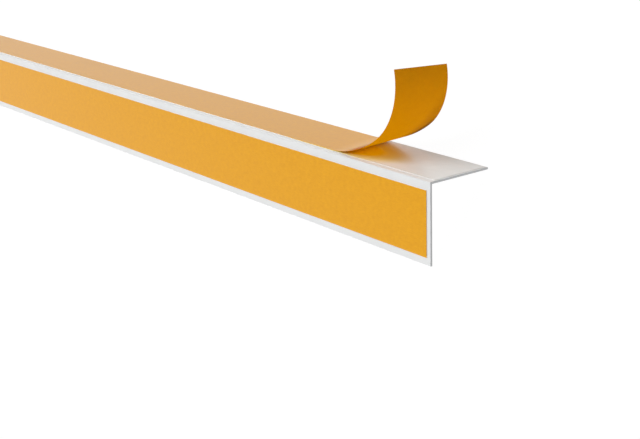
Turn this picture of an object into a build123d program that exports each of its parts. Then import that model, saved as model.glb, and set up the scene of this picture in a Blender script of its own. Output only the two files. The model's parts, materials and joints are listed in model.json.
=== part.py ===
"""Self-adhesive PVC angle moulding, lying ridge up, with one release liner peeled back."""

import os
from math import atan2, cos, radians, sin

from build123d import *

# Extruded angle, millimetres
length = 1000.0
front_leg = 50.0
top_leg = 45.0
wall = 1.3
ridge_radius = 0.4
inner_radius = 0.3
tip_radius = 0.2

# Adhesive tape: one width on both legs, set in from the ridge and from the two ends
tape_width = 40.0
tape_thickness = 0.2
front_tape_inset = 5.4
top_tape_inset = 4.2
front_end_margin = 3.0
top_end_margin = 0.8

# Release liner, as wide as the tape below it
liner_thickness = 0.15

# Peeled end of the top liner: a slow lift off the tape, then a tighter curl past the upright. Its upper edge,
# by the ridge, and its lower edge, by the leg's tip, turn alike but on different radii, so the sheet bends in
# one direction only, as paper does, and the curl tapers
lift_turn = 34.5
curl_turn = 67.5
upper_lift_radius = 76.0
upper_curl_radius = 43.3
lower_lift_radius = 93.0
lower_curl_radius = 38.3

# The liner's free end is cut a little out of square, and is longer by this along the upper edge
free_end_slant = 2.4

# The angle rests on the inner corners of its two tips, so the legs set how far it leans
lean = atan2(front_leg - wall, top_leg - wall)
top_leg_direction = Vector(0, cos(lean), -sin(lean))
top_face_normal = Vector(0, sin(lean), cos(lean))
front_face_normal = Vector(0, -cos(lean), sin(lean))

# Drawing planes on the ridge line. In the section, x runs down the top leg and y off its outer face
section_plane = Plane((-length / 2, 0, 0), x_dir=top_leg_direction, z_dir=(1, 0, 0))
front_face = Plane((0, 0, 0), x_dir=(1, 0, 0), z_dir=front_face_normal)
top_face = Plane((0, 0, 0), x_dir=(1, 0, 0), z_dir=top_face_normal)

# Strips as they lie on the outer faces, y measured from the ridge to the strip's middle
front_strip_length = length - 2 * front_end_margin
top_strip_length = length - 2 * top_end_margin
front_strip_middle = -(front_tape_inset + tape_width / 2)
top_strip_middle = top_tape_inset + tape_width / 2

# The liner keeps its length round the bends, which sets how far back each of its edges lifts off the tape
upper_peel = upper_lift_radius * radians(lift_turn) + upper_curl_radius * radians(curl_turn)
lower_peel = lower_lift_radius * radians(lift_turn) + lower_curl_radius * radians(curl_turn)
liner_start = -top_strip_length / 2
upper_lift_off = top_strip_length / 2 + free_end_slant - upper_peel
lower_lift_off = top_strip_length / 2 - lower_peel

# The top liner's two long edges, each with the plane that it is drawn on from the side
lower_corner = top_leg_direction * (top_tape_inset + tape_width) + top_face_normal * tape_thickness
lower_side = Plane(lower_corner, x_dir=(1, 0, 0), z_dir=front_face_normal)
upper_side = lower_side.offset(tape_width)
liner_edges = (
    (lower_side, lower_lift_off, lower_lift_radius, lower_curl_radius),
    (upper_side, upper_lift_off, upper_lift_radius, upper_curl_radius),
)

# Angle: one extruded section with a rounded ridge and eased tips
with BuildPart() as angle_profile:
    with BuildSketch(section_plane) as section:
        with BuildLine():
            Polyline(
                (0, 0),
                (top_leg, 0),
                (top_leg, -wall),
                (wall, -wall),
                (wall, -front_leg),
                (0, -front_leg),
                close=True,
            )
        make_face()
        # Nearest to the ridge first: the ridge itself, the inner corner, then the four tip corners
        fillet(section.vertices().sort_by_distance((0, 0, 0))[2:], radius=tip_radius)
        fillet(section.vertices().sort_by_distance((0, 0, 0))[1], radius=inner_radius)
        fillet(section.vertices().sort_by_distance((0, 0, 0))[0], radius=ridge_radius)
    extrude(amount=length)

# Tape on the front leg's outer face
with BuildPart() as front_adhesive:
    with BuildSketch(front_face):
        with Locations((0, front_strip_middle)):
            Rectangle(front_strip_length, tape_width)
    extrude(amount=tape_thickness)

# Tape on the top leg's outer face
with BuildPart() as top_adhesive:
    with BuildSketch(top_face):
        with Locations((0, top_strip_middle)):
            Rectangle(top_strip_length, tape_width)
    extrude(amount=tape_thickness)

# Liner on the front tape, flat and whole
with BuildPart() as front_liner:
    with BuildSketch(front_face.offset(tape_thickness)):
        with Locations((0, front_strip_middle)):
            Rectangle(front_strip_length, tape_width)
    extrude(amount=liner_thickness)

# Liner on the top tape: bonded as far as a slanting lift-off line, and lofted between its two edges beyond it
with BuildPart() as top_liner:
    with BuildSketch(top_face.offset(tape_thickness)):
        with BuildLine():
            Polyline(
                (liner_start, top_tape_inset),
                (upper_lift_off, top_tape_inset),
                (lower_lift_off, top_tape_inset + tape_width),
                (liner_start, top_tape_inset + tape_width),
                close=True,
            )
        make_face()
    extrude(amount=liner_thickness)
    for side, lift_off, lift_radius, curl_radius in liner_edges:
        with BuildSketch(side):
            with BuildLine():
                free_end = []
                for height in (0, liner_thickness):
                    lift = JernArc((lift_off, height), (1, 0), lift_radius - height, lift_turn)
                    curl = JernArc(lift @ 1, lift % 1, curl_radius - height, curl_turn)
                    free_end.append(curl @ 1)
                Line((lift_off, 0), (lift_off, liner_thickness))
                Line(*free_end)
            make_face()
    loft(ruled=True)

# The origin is on the floor, under the middle of the whole part
outer_box = angle_profile.part.bounding_box().add(top_liner.part.bounding_box())
standing = Vector(-outer_box.center().X, -outer_box.center().Y, -outer_box.min.Z)

pieces = {
    "angle_profile": angle_profile,
    "front_adhesive": front_adhesive,
    "top_adhesive": top_adhesive,
    "front_liner": front_liner,
    "top_liner": top_liner,
}
os.makedirs("parts", exist_ok=True)
for name, piece in pieces.items():
    piece.part.position = standing
    piece.part.label = name
    export_step(piece.part, f"parts/{name}.step")
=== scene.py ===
# %% [markdown]
# A self-adhesive angle moulding
#
# The object is a length of white PVC angle. Both of its outer faces carry a strip of clear adhesive tape
# under an amber release liner, and one liner has been peeled back so far that it curls up off its tape.
# The lesson loads the solids that were drawn to size elsewhere, then gives every surface its finish,
# remakes the curled liner as a smooth sheet, and lights the piece as on a photographer's light table.

# %% Load the frame
import json
import math

import bpy
from mathutils import Matrix, Vector


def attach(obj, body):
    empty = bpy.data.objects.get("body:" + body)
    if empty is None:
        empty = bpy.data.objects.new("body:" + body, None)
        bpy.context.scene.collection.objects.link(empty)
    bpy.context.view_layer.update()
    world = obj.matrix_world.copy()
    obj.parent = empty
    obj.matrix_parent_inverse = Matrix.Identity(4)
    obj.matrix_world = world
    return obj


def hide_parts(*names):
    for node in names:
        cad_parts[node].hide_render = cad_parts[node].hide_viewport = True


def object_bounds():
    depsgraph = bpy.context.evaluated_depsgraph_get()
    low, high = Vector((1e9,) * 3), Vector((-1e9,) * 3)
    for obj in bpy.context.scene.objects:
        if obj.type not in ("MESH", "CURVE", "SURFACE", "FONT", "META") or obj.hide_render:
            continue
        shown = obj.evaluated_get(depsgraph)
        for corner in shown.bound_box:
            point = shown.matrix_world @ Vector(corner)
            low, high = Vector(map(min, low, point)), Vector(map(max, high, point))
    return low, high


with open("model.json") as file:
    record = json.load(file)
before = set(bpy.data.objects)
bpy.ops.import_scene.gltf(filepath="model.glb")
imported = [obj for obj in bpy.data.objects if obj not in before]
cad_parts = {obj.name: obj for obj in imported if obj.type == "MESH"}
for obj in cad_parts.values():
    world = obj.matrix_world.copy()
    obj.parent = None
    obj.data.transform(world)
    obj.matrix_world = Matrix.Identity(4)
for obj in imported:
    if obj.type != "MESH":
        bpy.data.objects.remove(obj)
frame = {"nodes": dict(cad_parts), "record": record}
cad_low, cad_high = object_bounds()
print("solids:", sorted(frame["nodes"]), "box in mm:", [round(1000 * side) for side in cad_high - cad_low])

# %% [markdown]
# Directions of the moulding
#
# The angle lies like a tent, ridge up. Three directions describe it better than X, Y and Z do: along the
# stock, down the top leg, and straight off the top leg's face. The bond faces in the record give these
# directions, and how far a solid spans along them gives its size. So nothing that the solids already know
# is typed in again. Lengths are written in millimetres, and one factor turns them to Blender's metres.

# %% Find the ridge
MM = 0.001

bond_axis = {mount["name"]: Vector(mount["axis"]) for mount in frame["record"]["mounts"]}
off_front = bond_axis["front_bond_face"]
off_top = bond_axis["top_bond_face"]
down_top_leg = -off_front
along = Vector((1, 0, 0))


def span(name, way):
    """Where a solid begins and ends along a direction, in metres from the origin."""
    solid = frame["nodes"][name]
    places = [(solid.matrix_world @ vertex.co).dot(way) for vertex in solid.data.vertices]
    return min(places), max(places)


near_end = span("angle_profile", along)[1]
front_height = span("angle_profile", off_front)[1]
top_height = span("angle_profile", off_top)[1]
ridge_end = along * near_end + off_front * front_height + off_top * top_height


def on_moulding(x, y, z):
    """A point in mm from the ridge's near end: along the stock, down the top leg, off the top face."""
    return ridge_end + MM * (x * along + y * down_top_leg + z * off_top)


print("near end of the ridge in mm:", [round(c / MM, 2) for c in ridge_end])

# %% [markdown]
# The camera
#
# The viewpoint was worked out from the photograph's straight edges, which meet in two vanishing points.
# The middle of the picture falls on the front leg, at its liner's lower edge, so the camera is given as a
# place, a point to look at and a small roll about the line of sight. A lens a little longer than normal
# keeps the stock from tapering too fast.

# %% Place the camera
camera_place = on_moulding(485.0, -445.0, 193.0)
camera_target = on_moulding(-102.6, 0.0, -46.1)
camera_roll = math.radians(1.91)
focal_length = 69.1

sight = (camera_target - camera_place).normalized()
level_side = sight.cross(off_top).normalized()
level_up = level_side.cross(sight)
camera_up = level_up * math.cos(camera_roll) + level_side * math.sin(camera_roll)
camera_side = sight.cross(camera_up)

camera_data = bpy.data.cameras.new("camera")
camera_data.lens = focal_length
camera_data.sensor_width = 36.0
camera_data.clip_start = 0.01
camera = bpy.data.objects.new("camera", camera_data)
camera_turn = Matrix((camera_side, camera_up, -sight)).transposed()
camera.matrix_world = Matrix.Translation(camera_place) @ camera_turn.to_4x4()
bpy.context.scene.collection.objects.link(camera)
bpy.context.scene.camera = camera
bpy.context.scene.view_settings.view_transform = "Standard"
print("camera is", round((camera_place - ridge_end).length / MM), "mm from the ridge's near end")

# %% [markdown]
# Helpers for every finish
#
# Colours are easiest to read off a picture as sRGB hex values, but shaders add light in linear values, so
# one function does that change. A second one adds a node, sets its values and plugs in what feeds it.
# With these two a material reads from top to bottom like a recipe.


# %% Colour and node helpers
def linear(hex_colour):
    """An sRGB hex colour as linear red, green, blue and alpha."""
    shares = [int(hex_colour[i : i + 2], 16) / 255 for i in (1, 3, 5)]
    return [s / 12.92 if s <= 0.04045 else ((s + 0.055) / 1.055) ** 2.4 for s in shares] + [1.0]


def add_node(holder, kind, settings=None, stops=(), **inputs):
    """Adds one node to a material or to the world.

    Settings are its options, and stops are the places and colours of a colour ramp. Inputs are its
    sockets, each with a value or with the socket that feeds it. Where sockets share a name, they go by
    their number, such as _6.
    """
    tree = holder.node_tree
    made = tree.nodes.new(kind)
    for name, value in (settings or {}).items():
        setattr(made, name, value)
    for _ in stops[2:]:
        made.color_ramp.elements.new(1.0)
    for index, (position, colour) in enumerate(stops):
        made.color_ramp.elements[index].position = position
        made.color_ramp.elements[index].color = colour
    for name, value in inputs.items():
        socket = made.inputs[int(name[1:]) if name[1:].isdigit() else name.replace("_", " ")]
        if isinstance(value, bpy.types.NodeSocket):
            tree.links.new(value, socket)
        else:
            socket.default_value = value
    return made


def new_material(name):
    """An empty node material and its output's surface socket."""
    material = bpy.data.materials.new(name)
    material.use_nodes = True
    material.node_tree.nodes.clear()
    output = material.node_tree.nodes.new("ShaderNodeOutputMaterial")
    return material, output.inputs["Surface"]


print("white is", linear("#ffffff"), "and mid grey is", [round(c, 3) for c in linear("#808080")])

# %% [markdown]
# Extruded PVC
#
# Rigid white PVC leaves the die smooth, with a satin skin and faint lines that all run along the stock.
# The lines come from noise that is stretched along X, so they follow the extrusion on both legs at once.
# Real die lines are a few tenths of a millimetre apart. That is finer than a pixel here, so they are drawn
# about 1.5 mm apart, and very shallow. The ends were sawn, so a face that looks along X is duller and has a
# coarser grain across it. Its greyer colour is partly the dull sawn face and partly painted shade, since
# the ends face away from the main light.
#
# Thin white plastic also scatters light inside it. Some of what falls on the front leg comes out past the
# ridge, so the bare margin on the top leg looks as white as the front one, though it gets less light.
# Blender's own scattering lightened both legs alike, so that light is painted instead: the top leg's faces
# get a whiter colour.


# %% Make the PVC
def faces_along(material, way):
    """1 on the faces that look along a direction, either way, and 0 on the others."""
    half_turned = 0.7
    nearly_square = 0.9
    normal = add_node(material, "ShaderNodeNewGeometry").outputs["Normal"]
    cosine = add_node(
        material, "ShaderNodeVectorMath", {"operation": "DOT_PRODUCT"}, _0=normal, _1=way
    ).outputs["Value"]
    size = add_node(material, "ShaderNodeMath", {"operation": "ABSOLUTE"}, _0=cosine).outputs["Value"]
    return add_node(
        material, "ShaderNodeMapRange", Value=size, From_Min=half_turned, From_Max=nearly_square
    ).outputs["Result"]


def extruded_white_pvc():
    """Cool white satin plastic: a body colour with painted light on the top leg and partly painted shade on
    the sawn ends, and a soft shine in streaks along the stock.
    """
    die_line_spacing = 1.5 * MM
    die_line_length = 400 * MM
    saw_mark_spacing = 0.35 * MM
    cloud_size = 18 * MM
    material, surface = new_material("extruded_white_pvc")
    place = add_node(material, "ShaderNodeTexCoord").outputs["Object"]
    sawn = faces_along(material, along)
    top_leg = faces_along(material, off_top)
    drawn_out = add_node(
        material, "ShaderNodeMapping", Vector=place, Scale=(die_line_spacing / die_line_length, 1, 1)
    ).outputs["Vector"]
    die_lines = add_node(
        material,
        "ShaderNodeTexNoise",
        Vector=drawn_out,
        Scale=1 / die_line_spacing,
        Detail=3.0,
        Roughness=0.6,
    ).outputs["Fac"]
    cloud = add_node(
        material, "ShaderNodeTexNoise", Vector=place, Scale=1 / cloud_size, Detail=4.0, Roughness=0.55
    ).outputs["Fac"]
    saw_marks = add_node(
        material, "ShaderNodeTexNoise", Vector=place, Scale=1 / saw_mark_spacing, Detail=2.0
    ).outputs["Fac"]
    front_body = add_node(
        material,
        "ShaderNodeValToRGB",
        stops=[(0.3, linear("#ebecec")), (0.7, linear("#f0f1f1"))],
        Fac=cloud,
    ).outputs["Color"]
    # painted light: the top leg's faces are whiter, standing in for light scattered through the plastic
    # from the front leg
    body = add_node(
        material, "ShaderNodeMix", {"data_type": "RGBA"}, _0=top_leg, _6=front_body, _7=linear("#fcfdfd")
    ).outputs[2]
    # partly painted shade: the sawn ends are greyer, partly for the dull sawn face and partly for the
    # little light they get
    sawn_and_shaded_body = add_node(
        material, "ShaderNodeMix", {"data_type": "RGBA"}, _0=sawn, _6=body, _7=linear("#cccdce")
    ).outputs[2]
    satin = add_node(
        material, "ShaderNodeMapRange", Value=die_lines, To_Min=0.30, To_Max=0.42
    ).outputs["Result"]
    roughness = add_node(
        material, "ShaderNodeMix", {"data_type": "FLOAT"}, _0=sawn, _2=satin, _3=0.75
    ).outputs[0]
    grain = add_node(
        material, "ShaderNodeMix", {"data_type": "FLOAT"}, _0=sawn, _2=die_lines, _3=saw_marks
    ).outputs[0]
    relief = add_node(
        material, "ShaderNodeBump", Strength=0.25, Distance=0.02 * MM, Height=grain
    ).outputs["Normal"]
    shader = add_node(
        material,
        "ShaderNodeBsdfPrincipled",
        Base_Color=sawn_and_shaded_body,
        Roughness=roughness,
        IOR=1.53,
        Specular_IOR_Level=0.2,
        Normal=relief,
    )
    material.node_tree.links.new(shader.outputs["BSDF"], surface)
    return material


pvc = extruded_white_pvc()
print("made", pvc.name)

# %% [markdown]
# Where the liner lifts off
#
# Paper bends in one direction only. So the two long edges of the peeled stretch turn by the same angles,
# first in a slow lift and then in a tighter curl, each edge on radii of its own, and straight lines across
# the strip join the places where both edges have turned alike. The edge by the ridge is called the upper
# one. The strip's flat sizes are measured on the solids. The turns and radii are those that the liner was
# drawn with, and a function follows one edge and gives its place for any angle. The finishes of tape and
# paper both need to know where the liner is, so its edges come before them.

# %% Measure the strips
tape_start, tape_stop = span("top_adhesive", down_top_leg)
tape_base, tape_face = span("top_adhesive", off_top)
liner_base, liner_face = span("front_liner", off_front)
strip_width = (tape_stop - tape_start) / MM
top_tape_inset = (tape_start - ridge_end.dot(down_top_leg)) / MM
top_end_margin = (near_end - span("top_adhesive", along)[1]) / MM
tape_thickness = (tape_face - tape_base) / MM
liner_thickness = (liner_face - liner_base) / MM
print("strips are", round(strip_width, 2), "mm wide, the tape", round(tape_thickness, 2), "mm thick")

# %% Follow the liner's edges
free_end_slant = 2.4
lift_turn = math.radians(34.5)
curl_turn = math.radians(67.5)
upper_radii = (76.0, 43.3)
lower_radii = (93.0, 38.3)


def lift_off(radii, free_end):
    """Place along the stock where an edge leaves the tape, if it would reach its free end pressed flat."""
    lift_radius, curl_radius = radii
    return free_end - lift_radius * lift_turn - curl_radius * curl_turn


def bent_edge(start, radii, turn):
    """Place along the stock and height off the tape where an edge has turned by an angle."""
    lift_radius, curl_radius = radii
    lifted = min(turn, lift_turn)
    x = start + lift_radius * math.sin(lifted) + curl_radius * (math.sin(turn) - math.sin(lifted))
    z = lift_radius * (1 - math.cos(lifted)) + curl_radius * (math.cos(lifted) - math.cos(turn))
    return x, z


upper_lift_off = lift_off(upper_radii, free_end_slant - top_end_margin)
lower_lift_off = lift_off(lower_radii, -top_end_margin)
curl_height = bent_edge(upper_lift_off, upper_radii, lift_turn + curl_turn)[1]
print("lifts off at", round(upper_lift_off, 1), "and", round(lower_lift_off, 1), "mm from the near end")
print("curls up to", round(curl_height, 1), "mm off the tape")

# %% [markdown]
# Clear acrylic tape
#
# Once its liner is off, the tape shows as a clear film on the white plastic, a little greyer than the PVC
# margin beside it. Towards the ridge it gets a whiter colour, painted light for what scatters through the
# plastic below it, as on the top leg. It mirrors the curled liner faintly, more blurred further off, which
# a single middling roughness gives by itself. A slow ripple in the relief keeps that mirror image from
# being perfect.
# Close under the liner the film looks deep amber. Light that came through the paper goes to and fro between
# paper and film, and more of its blue is lost at each bounce. On a floor that glows, white light leaks in
# from the sides and washes that out, so that amber light is painted into the film's colour as a soft oval
# of painted glow. Its middle is on the line where the liner lifts off, and it fades to nothing before the
# near end.


# %% Make the tape
def soft_oval(material, place, middle, axes, reach):
    """How close a place is to the middle of an oval: 1 there, falling evenly to 0 at its rim."""
    from_middle = add_node(
        material,
        "ShaderNodeMapping",
        {"vector_type": "TEXTURE"},
        Vector=place,
        Location=middle,
        Rotation=Matrix(axes).transposed().to_euler(),
        Scale=reach,
    ).outputs["Vector"]
    return add_node(
        material, "ShaderNodeTexGradient", {"gradient_type": "SPHERICAL"}, Vector=from_middle
    ).outputs["Fac"]


def clear_acrylic_adhesive():
    """Pale grey film with a soft shine, painted light that whitens it towards the ridge, and a painted
    amber glow where the liner stands close over it.
    """
    ripple_size = 9 * MM
    lift_off_line = (upper_lift_off + lower_lift_off) / 2
    glow_from_ridge = 18.0
    glow_middle = on_moulding(lift_off_line, glow_from_ridge, 0.0)
    glow_reach = (67 * MM, 24 * MM, 24 * MM)
    ridge_line = ridge_end.dot(down_top_leg)
    grey_from_ridge = 17 * MM
    material, surface = new_material("clear_acrylic_adhesive")
    place = add_node(material, "ShaderNodeTexCoord").outputs["Object"]
    ripple = add_node(
        material, "ShaderNodeTexNoise", Vector=place, Scale=1 / ripple_size, Detail=3.0, Roughness=0.5
    ).outputs["Fac"]
    grey_film = add_node(
        material,
        "ShaderNodeValToRGB",
        stops=[(0.3, linear("#e8e8e5")), (0.7, linear("#ededea"))],
        Fac=ripple,
    ).outputs["Color"]
    from_ridge = add_node(
        material, "ShaderNodeVectorMath", {"operation": "DOT_PRODUCT"}, _0=place, _1=down_top_leg
    ).outputs["Value"]
    painted_ridge_light = add_node(
        material,
        "ShaderNodeMapRange",
        Value=from_ridge,
        From_Min=ridge_line + grey_from_ridge,
        From_Max=tape_start,
    ).outputs["Result"]
    # painted light: the film is whiter towards the ridge, for light scattered through the plastic below
    film = add_node(
        material, "ShaderNodeMix", {"data_type": "RGBA"}, _0=painted_ridge_light, _6=grey_film, _7=linear("#fafaf7")
    ).outputs[2]
    closeness = soft_oval(material, place, glow_middle, (along, down_top_leg, off_top), glow_reach)
    # painted light: the amber of light that comes through the liner, as a soft oval on the film
    painted_glow = add_node(
        material,
        "ShaderNodeValToRGB",
        stops=[
            (0.04, linear("#ecdc8a")[:3] + [0.0]),
            (0.38, linear("#ecdc8a")),
            (0.53, linear("#ffe400")),
        ],
        Fac=closeness,
    )
    painted_glow.color_ramp.interpolation = "EASE"
    film_with_painted_glow = add_node(
        material,
        "ShaderNodeMix",
        {"data_type": "RGBA"},
        _0=painted_glow.outputs["Alpha"],
        _6=film,
        _7=painted_glow.outputs["Color"],
    ).outputs[2]
    shine = add_node(
        material, "ShaderNodeMapRange", Value=ripple, To_Min=0.20, To_Max=0.28
    ).outputs["Result"]
    relief = add_node(
        material, "ShaderNodeBump", Strength=0.15, Distance=0.05 * MM, Height=ripple
    ).outputs["Normal"]
    shader = add_node(
        material,
        "ShaderNodeBsdfPrincipled",
        Base_Color=film_with_painted_glow,
        Roughness=shine,
        IOR=1.55,
        Specular_IOR_Level=0.15,
        Normal=relief,
    )
    material.node_tree.links.new(shader.outputs["BSDF"], surface)
    return material


tape = clear_acrylic_adhesive()
print("made", tape.name)

# %% [markdown]
# Amber release liner
#
# The liner is glassine: dense paper, dyed amber and coated with silicone. Its pattern is the paper's
# cloudy formation, a few millimetres across, under a finer fibre grain along the strip. Real fibres are a
# few hundredths of a millimetre wide, far finer than a pixel, so they are drawn 0.6 mm wide.
#
# While it lies on the tape, the white plastic behind it keeps it bright, and its outer side has a dull
# shine that grows towards white when it is seen edgewise. Once it is peeled, light passes through it: the
# curl glows a deeper amber where it is lit from behind, and tints the tape below. Making the paper partly
# see-through would show the ground through it. So the shader mixes a reflecting surface with a translucent
# one, and the height off the tape sets the share of each. The glow begins just off the tape, but not at
# once: the first millimetre of the lift still shows its dull shine. Then it eases off again towards the
# free end.


# %% Draw the paper and its glow
def paper_formation(material, place):
    """Clouds of pulp and a finer grain of fibres along the strip, as a value from 0 to 1."""
    cloud_size = 3 * MM
    fibre_width = 0.6 * MM
    fibre_length = 3 * MM
    cloud = add_node(
        material, "ShaderNodeTexNoise", Vector=place, Scale=1 / cloud_size, Detail=5.0, Roughness=0.6
    ).outputs["Fac"]
    drawn_out = add_node(
        material, "ShaderNodeMapping", Vector=place, Scale=(fibre_width / fibre_length, 1, 1)
    ).outputs["Vector"]
    fibres = add_node(
        material, "ShaderNodeTexNoise", Vector=drawn_out, Scale=1 / fibre_width, Detail=3.0, Roughness=0.6
    ).outputs["Fac"]
    return add_node(
        material, "ShaderNodeMix", {"data_type": "FLOAT"}, _0=0.5, _2=cloud, _3=fibres
    ).outputs[0]


def glow_share(material, place, clear_from, translucency):
    """Share of light that comes through: none on the tape, most at one height off it, less at the end."""
    opaque_to = 0.35 * clear_from
    most, at_free_end = translucency
    height = add_node(
        material, "ShaderNodeVectorMath", {"operation": "DOT_PRODUCT"}, _0=place, _1=off_top
    ).outputs["Value"]
    clear = add_node(
        material,
        "ShaderNodeMapRange",
        Value=height,
        From_Min=top_height + clear_from,
        From_Max=top_height + curl_height * MM,
        To_Min=most,
        To_Max=at_free_end,
    ).outputs["Result"]
    return add_node(
        material,
        "ShaderNodeMapRange",
        Value=height,
        From_Min=top_height + opaque_to,
        From_Max=top_height + clear_from,
        To_Max=clear,
    ).outputs["Result"]


print("the glow goes by the height off a face", round(top_height / MM, 2), "mm from the origin")

# %% [markdown]
# The two sides of the paper
#
# The side that lay on the tape is matt, and lets light through from lower down. Its deeper dye is painted
# shade, for a side that gets most of its light through the paper. The outer side is calendered smooth. So
# the paper is made twice from one recipe, which takes what differs. Low on the curl, a brown band of
# painted shade lies along the edge by the leg's tip. It is drawn as a soft oval, set on that edge and
# turned along it, that darkens what comes through the paper.


# %% Make the liner paper
def painted_edge_shade(material, place):
    """White, but for a soft brownish grey oval of painted shade on the lower edge, low on the curl."""
    shade_turn = math.radians(30)
    shade_reach = (44 * MM, 15 * MM, 40 * MM)
    edge_x, edge_z = bent_edge(lower_lift_off, lower_radii, shade_turn)
    middle = on_moulding(edge_x, top_tape_inset + strip_width, edge_z)
    edge_way = along * math.cos(shade_turn) + off_top * math.sin(shade_turn)
    axes = (edge_way, down_top_leg, edge_way.cross(down_top_leg))
    closeness = soft_oval(material, place, middle, axes, shade_reach)
    shade = add_node(
        material,
        "ShaderNodeValToRGB",
        stops=[(0.05, linear("#ffffff")), (0.50, linear("#f0ebeb")), (0.90, linear("#aca2a2"))],
        Fac=closeness,
    )
    shade.color_ramp.interpolation = "EASE"
    return shade.outputs["Color"]


def amber_glassine(name, dye, clear_from, translucency, specular, roughness):
    """Dyed, calendered paper: cloudy amber with a fibre grain, and a glow where it is lit through."""
    pale_dye, deep_dye = dye
    smoothest = roughness - 0.06
    roughest = roughness + 0.06
    material, surface = new_material(name)
    place = add_node(material, "ShaderNodeTexCoord").outputs["Object"]
    formation = paper_formation(material, place)
    dyed = add_node(
        material,
        "ShaderNodeValToRGB",
        stops=[(0.35, linear(deep_dye)), (0.65, linear(pale_dye))],
        Fac=formation,
    ).outputs["Color"]
    lit_through = add_node(
        material,
        "ShaderNodeValToRGB",
        stops=[(0.35, linear("#ecc000")), (0.65, linear("#f2c802"))],
        Fac=formation,
    ).outputs["Color"]
    # painted shade: the light through the paper is darkened in a soft oval on the curl's lower edge
    shaded = add_node(
        material,
        "ShaderNodeMix",
        {"data_type": "RGBA", "blend_type": "MULTIPLY"},
        _0=1.0,
        _6=lit_through,
        _7=painted_edge_shade(material, place),
    ).outputs[2]
    shine = add_node(
        material, "ShaderNodeMapRange", Value=formation, To_Min=smoothest, To_Max=roughest
    ).outputs["Result"]
    relief = add_node(
        material, "ShaderNodeBump", Strength=0.2, Distance=0.03 * MM, Height=formation
    ).outputs["Normal"]
    paper = add_node(
        material,
        "ShaderNodeBsdfPrincipled",
        Base_Color=dyed,
        Roughness=shine,
        IOR=1.5,
        Specular_IOR_Level=specular,
        Normal=relief,
    )
    glow = add_node(material, "ShaderNodeBsdfTranslucent", Color=shaded, Normal=relief)
    sheet = add_node(
        material,
        "ShaderNodeMixShader",
        _0=glow_share(material, place, clear_from, translucency),
        _1=paper.outputs["BSDF"],
        _2=glow.outputs["BSDF"],
    )
    material.node_tree.links.new(sheet.outputs["Shader"], surface)
    return material


outer_glassine = amber_glassine(
    "amber_glassine",
    dye=("#f3ae08", "#eaa100"),
    clear_from=3.2 * MM,
    translucency=(0.92, 0.38),
    specular=0.24,
    roughness=0.30,
)
# painted shade: the tape side's dye is deeper than the outer side's, for a side lit mostly through the
# paper
tape_side_glassine = amber_glassine(
    "amber_glassine_tape_side",
    dye=("#dfa203", "#d69700"),
    clear_from=1.0 * MM,
    translucency=(0.97, 0.50),
    specular=0.05,
    roughness=0.55,
)
print("made", outer_glassine.name, "and", tape_side_glassine.name)

# %% [markdown]
# Dressing the solids
#
# Four of the five solids already have the right shape, so they only get their finish. A solid that was
# drawn to size is never moved or reshaped here.

# %% Give the solids their finish
finishes = {
    "angle_profile": pvc,
    "front_adhesive": tape,
    "top_adhesive": tape,
    "front_liner": outer_glassine,
    "top_liner": outer_glassine,
}
for name, finish in finishes.items():
    slots = frame["nodes"][name].data.materials
    slots.clear()
    slots.append(finish)
    print(name, "is", finish.name)

# %% [markdown]
# The peeled liner
#
# The fifth solid, the top liner, has flat facets round its bends, and one finish on both sides. A plane
# that is bent and thickened by modifiers could replace it, but its two edges would share one radius. So a
# grid of points takes its place. Each row crosses the strip in two layers, the side that lay on the tape
# and the outer side, a paper's thickness apart. Rows lie far apart on the flat and close together round
# the bends, and smooth shading does the rest. The layers get a material each, and the cut edges go with
# the outer side.

# %% Lay out the rows
flat_rows = 24
bend_rows = 100
columns = 20
flat_start = top_end_margin - (cad_high.x - cad_low.x) / MM

rows = []
for row in range(flat_rows):
    still_flat = row / flat_rows
    upper_x = flat_start + (upper_lift_off - flat_start) * still_flat
    lower_x = flat_start + (lower_lift_off - flat_start) * still_flat
    rows.append((0.0, (upper_x, 0.0), (lower_x, 0.0)))
for row in range(bend_rows + 1):
    turn = (lift_turn + curl_turn) * row / bend_rows
    upper = bent_edge(upper_lift_off, upper_radii, turn)
    lower = bent_edge(lower_lift_off, lower_radii, turn)
    rows.append((turn, upper, lower))

points = []
for turn, (upper_x, upper_z), (lower_x, lower_z) in rows:
    for layer in (0.0, liner_thickness):
        for column in range(columns + 1):
            across = column / columns
            x = upper_x + (lower_x - upper_x) * across - layer * math.sin(turn)
            z = upper_z + (lower_z - upper_z) * across + layer * math.cos(turn)
            points.append(on_moulding(x, top_tape_inset + strip_width * across, tape_thickness + z))
print(len(rows), "rows and", len(points), "points")

# %% Join the points into faces
outer_side, tape_side = 0, 1
layer_size = columns + 1
row_size = 2 * layer_size
row_end = row_size - 1
last_row = (len(rows) - 1) * row_size
faces = []
for a in range(0, last_row, row_size):
    b = a + row_size
    for c in range(columns):
        faces.append((tape_side, (a + c, a + c + 1, b + c + 1, b + c)))
        d = c + layer_size
        faces.append((outer_side, (a + d, b + d, b + d + 1, a + d + 1)))
    faces.append((outer_side, (a, b, b + layer_size, a + layer_size)))
    faces.append((outer_side, (a + columns, a + row_end, b + row_end, b + columns)))
for c in range(columns):
    d = c + layer_size
    faces.append((outer_side, (c, d, d + 1, c + 1)))
    faces.append((outer_side, (last_row + c, last_row + c + 1, last_row + d + 1, last_row + d)))
print(len(faces), "faces")

# %% Make the peeled liner
sheet_mesh = bpy.data.meshes.new("peeled_liner")
sheet_mesh.from_pydata(points, [], [corners for side, corners in faces])
sheet_mesh.materials.append(outer_glassine)
sheet_mesh.materials.append(tape_side_glassine)
sheet_mesh.polygons.foreach_set("material_index", [side for side, corners in faces])
sheet_mesh.shade_smooth()
sheet_mesh.set_sharp_from_angle(angle=math.radians(40))
peeled_liner = bpy.data.objects.new("peeled_liner", sheet_mesh)
bpy.context.scene.collection.objects.link(peeled_liner)
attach(peeled_liner, "root")
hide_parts("top_liner")
print("made", peeled_liner.name)

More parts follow.
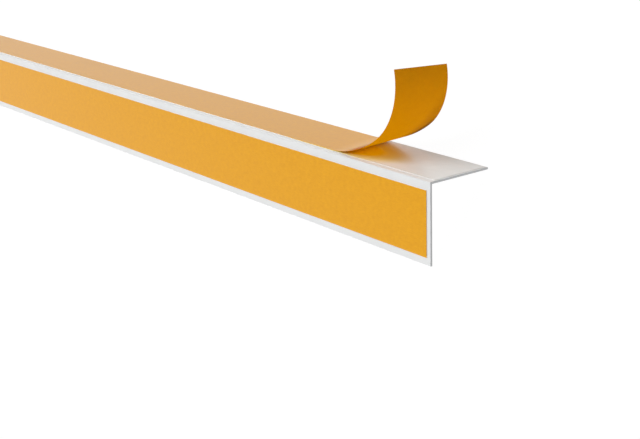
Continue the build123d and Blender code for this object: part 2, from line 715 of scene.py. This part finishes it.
# %% [markdown]
# The light table
#
# Catalogue pictures of trim are taken on opal acrylic that is lit from below, so the ground burns out to
# white and no shadow is left on it. A white ground could also be put in afterwards, but then no light would
# come up from it to the legs. So the floor here is such a sheet. It glows nearly white by itself, and only
# a little of the light from above is added to that. It is so wide that its far edge stays out of sight.

# %% Lay the floor
half = 40.0
floor_corners = [(-half, -half, 0), (half, -half, 0), (half, half, 0), (-half, half, 0)]
floor_mesh = bpy.data.meshes.new("light_table")
floor_mesh.from_pydata(floor_corners, [], [(0, 1, 2, 3)])
floor = bpy.data.objects.new("light_table", floor_mesh)
bpy.context.scene.collection.objects.link(floor)

opal, opal_surface = new_material("opal_acrylic")
opal_shader = add_node(
    opal,
    "ShaderNodeBsdfPrincipled",
    Base_Color=linear("#3a3a3a"),
    Roughness=0.6,
    Specular_IOR_Level=0.0,
    Emission_Color=linear("#ffffff"),
    Emission_Strength=0.98,
)
opal.node_tree.links.new(opal_shader.outputs["BSDF"], opal_surface)
floor_mesh.materials.append(opal)
print("floor is", 2 * half, "m across")

# %% [markdown]
# The lights
#
# The room has pale walls near the horizon and is dim above them. The main light stands high on the left.
# It is a sun lamp, so it lights the whole length alike, but with a disc 50 degrees wide its shadows have
# no hard edge. It shines through the curl and tints the bare tape below. A dim softbox stands to the left
# in front. The front liner mirrors a little of it, more towards the far end, where it is seen edgewise.

# %% Paint the room
wall_light = 0.9
ceiling_light = 0.07
# Foot and top of the fading walls, as sines of the angle above the horizon
wall_foot = 0.05
wall_top = 0.35
world = bpy.data.worlds.new("studio")
world.use_nodes = True
room = world.node_tree.nodes["Background"]
room.inputs["Color"].default_value = linear("#ffffff")
view_line = add_node(world, "ShaderNodeTexCoord").outputs["Generated"]
up = add_node(world, "ShaderNodeSeparateXYZ", Vector=view_line).outputs["Z"]
wall = add_node(
    world,
    "ShaderNodeMapRange",
    {"interpolation_type": "SMOOTHSTEP"},
    Value=up,
    From_Min=wall_foot,
    From_Max=wall_top,
    To_Min=wall_light,
    To_Max=ceiling_light,
).outputs["Result"]
world.node_tree.links.new(wall, room.inputs["Strength"])
bpy.context.scene.world = world
print("made", world.name)

# %% Hang the main light
main_way = Vector((0.47, 0.12, -1.0))
main_lamp = bpy.data.lights.new("main_light", "SUN")
main_lamp.energy = 2.6
main_lamp.angle = math.radians(50)
main_light = bpy.data.objects.new("main_light", main_lamp)
main_light.rotation_euler = main_way.to_track_quat("-Z", "Y").to_euler()
bpy.context.scene.collection.objects.link(main_light)
print("made", main_light.name)

# %% Stand the softbox
softbox_from_end = 0.2
softbox_stand = Vector((-1.7, -1.1, 0.7))
softbox_target = Vector((near_end - softbox_from_end, ridge_end.y, 0.0))
softbox_place = softbox_target + softbox_stand
softbox_lamp = bpy.data.lights.new("softbox", "AREA")
softbox_lamp.shape = "RECTANGLE"
softbox_lamp.size = 2.4
softbox_lamp.size_y = 1.2
softbox_lamp.energy = 4.0
softbox = bpy.data.objects.new("softbox", softbox_lamp)
softbox.location = softbox_place
softbox.rotation_euler = (softbox_target - softbox_place).to_track_quat("-Z", "Y").to_euler()
softbox.visible_camera = False
bpy.context.scene.collection.objects.link(softbox)
print("made", softbox.name, round(softbox_stand.length, 2), "m from the moulding")
